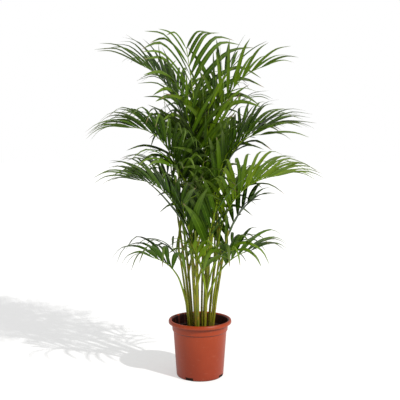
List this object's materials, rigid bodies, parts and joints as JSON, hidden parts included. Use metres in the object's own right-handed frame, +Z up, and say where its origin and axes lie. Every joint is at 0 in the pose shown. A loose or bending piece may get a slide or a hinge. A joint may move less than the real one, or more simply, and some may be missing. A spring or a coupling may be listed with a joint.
{
  "type": "potted palm",
  "caption": "Areca palm: a clump of slim leaning canes with arching feather-shaped fronds, growing from soil in a tapered round terracotta-coloured plastic nursery pot.",
  "frame": {"origin": "middle of the pot's flat underside, on the surface it stands on", "axes": "+Z up along the pot's axis; the front of the plant faces -Y, with +X to its right as seen from the front"},
  "size_m": [0.7543, 0.6425, 1.1467],
  "materials": {
    "terracotta_plastic": "satin",
    "potting_soil": "matt, crumbly peat and bark",
    "cane": "smooth green to olive, satin",
    "palm_leaf": "satin leaf",
    "young_leaf": "satin leaf, yellow-green"
  },
  "bodies": {
    "root": {"cane_01": "cane", "cane_02": "cane", "cane_03": "cane", "cane_04": "cane", "cane_05": "cane", "cane_06": "cane", "cane_07": "cane", "cane_08": "cane", "cane_09": "cane", "cane_10": "cane", "cane_11": "cane", "cane_12": "cane", "cane_13": "cane", "cane_14": "cane", "frond_base_front": "palm_leaf", "frond_base_left": "palm_leaf", "frond_base_left_back": "palm_leaf", "frond_base_right": "palm_leaf", "frond_base_right_back": "palm_leaf", "frond_base_side_front": "palm_leaf", "frond_low_back": "palm_leaf", "frond_low_left": "palm_leaf", "frond_low_left_back": "palm_leaf", "frond_low_left_front": "palm_leaf", "frond_low_left_mid": "palm_leaf", "frond_low_right": "palm_leaf", "frond_low_right_back": "palm_leaf", "frond_low_right_front": "palm_leaf", "frond_low_right_mid": "palm_leaf", "frond_mid_back": "palm_leaf", "frond_mid_front": "palm_leaf", "frond_mid_inner_left": "palm_leaf", "frond_mid_left": "palm_leaf", "frond_mid_left_back": "palm_leaf", "frond_mid_left_front": "palm_leaf", "frond_mid_right": "palm_leaf", "frond_mid_right_back": "palm_leaf", "frond_mid_right_front": "palm_leaf", "frond_mid_side_front": "palm_leaf", "frond_top_back": "palm_leaf", "frond_top_centre": "palm_leaf", "frond_top_front": "palm_leaf", "frond_top_left": "palm_leaf", "frond_top_left_back": "palm_leaf", "frond_top_left_front": "palm_leaf", "frond_top_right": "palm_leaf", "frond_top_right_back": "palm_leaf", "frond_top_side_back": "palm_leaf", "pot": "terracotta_plastic", "soil": "potting_soil", "spear_back": "young_leaf", "spear_centre": "young_leaf", "spear_left": "young_leaf", "spear_right": "young_leaf"}
  },
  "joints": []
}
